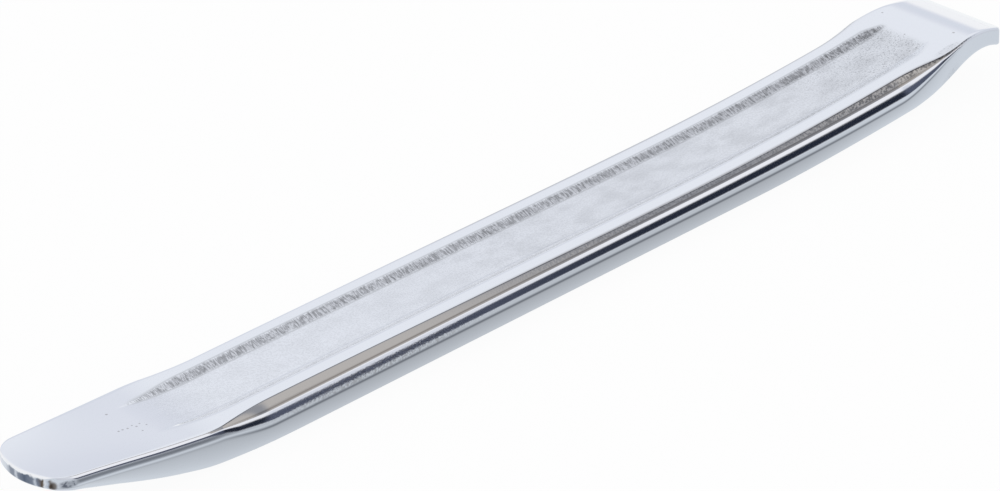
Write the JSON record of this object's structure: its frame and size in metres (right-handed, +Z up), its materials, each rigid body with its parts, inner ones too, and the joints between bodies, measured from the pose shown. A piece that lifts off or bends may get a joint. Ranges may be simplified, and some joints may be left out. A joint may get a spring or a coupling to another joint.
{
  "type": "tyre lever",
  "caption": "One-piece forged, chrome-plated tyre lever: flat spoon end, straight bar with a shallow pocket and side ridges, and a small rolled-over hook.",
  "frame": {"origin": "under the middle of the bar's length and width, on the flat underside that it lies on", "axes": "+X along the bar from the spoon tip to the hook tip, +Y across the bar, +Z up out of the pocketed face"},
  "size_m": [0.25, 0.0254, 0.012],
  "materials": {
    "chrome": "bright chrome plating over a lightly ground forging; the pocket's side walls are left rough"
  },
  "bodies": {
    "root": {"lever": "chrome"}
  },
  "joints": []
}
